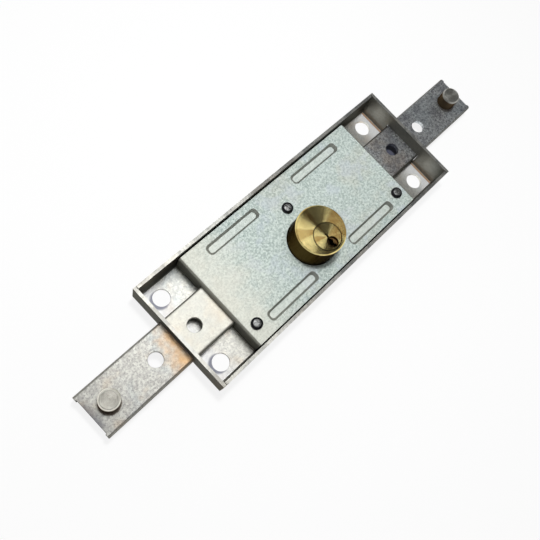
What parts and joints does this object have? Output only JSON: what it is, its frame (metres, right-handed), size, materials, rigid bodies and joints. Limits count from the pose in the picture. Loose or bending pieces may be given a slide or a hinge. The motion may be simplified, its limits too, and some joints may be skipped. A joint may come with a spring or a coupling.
{
  "type": "roller shutter lock",
  "caption": "Central lock of a roller shutter: a keyed round cylinder turns a pinion that draws two opposed channel bars into a folded sheet case.",
  "frame": {"origin": "centre of the tray's flat back face, midway between the two bar tips", "axes": "+X along the bars towards the right bar, +Y across the case on the cylinder's thick side, +Z out of the cover towards the key"},
  "size_m": [0.245, 0.055, 0.0258],
  "materials": {
    "zinc_sheet": "satin",
    "zinc_bar": "satin",
    "zinc_pin": "satin",
    "hard_steel": "satin",
    "dark_screw": "satin",
    "turned_brass": "polished"
  },
  "bodies": {
    "case": {"case_tray": "zinc_sheet", "cover_plate": "zinc_sheet", "cylinder_fork": "zinc_sheet", "cylinder_body": "turned_brass", "spring_cover": "turned_brass", "left_pillar": "zinc_pin", "left_cover_screw": "dark_screw", "middle_pillar": "zinc_pin", "middle_cover_screw": "dark_screw", "right_pillar": "zinc_pin", "right_cover_screw": "dark_screw", "driver_pin_1": "turned_brass", "pin_spring_1": "hard_steel", "driver_pin_2": "turned_brass", "pin_spring_2": "hard_steel", "driver_pin_3": "turned_brass", "pin_spring_3": "hard_steel", "driver_pin_4": "turned_brass", "pin_spring_4": "hard_steel"},
    "left_bolt": {"left_bar": "zinc_bar", "left_drive_pin": "zinc_pin"},
    "right_bolt": {"right_bar": "zinc_bar", "right_drive_pin": "zinc_pin"},
    "plug": {"cylinder_plug": "turned_brass", "drive_pinion": "hard_steel", "key_pin_1": "turned_brass", "key_pin_2": "turned_brass", "key_pin_3": "turned_brass", "key_pin_4": "turned_brass"}
  },
  "joints": [
    {"name": "left_bolt_slide", "type": "slide", "parent": "case", "child": "left_bolt", "axis": [1, 0, 0], "range_m": [0, 0.022]},
    {"name": "right_bolt_slide", "type": "slide", "parent": "case", "child": "right_bolt", "axis": [-1, 0, 0], "range_m": [0, 0.022]},
    {"name": "plug_turn", "type": "hinge", "parent": "case", "child": "plug", "pos_m": [-0.002, -0.011, 0], "axis": [0, 0, -1], "range_deg": [0, 360]}
  ],
  "couplings": [
    {"joint": "right_bolt_slide", "follows": "left_bolt_slide", "ratio": 1},
    {"joint": "plug_turn", "follows": "left_bolt_slide", "rad_per_m": 285.6}
  ]
}
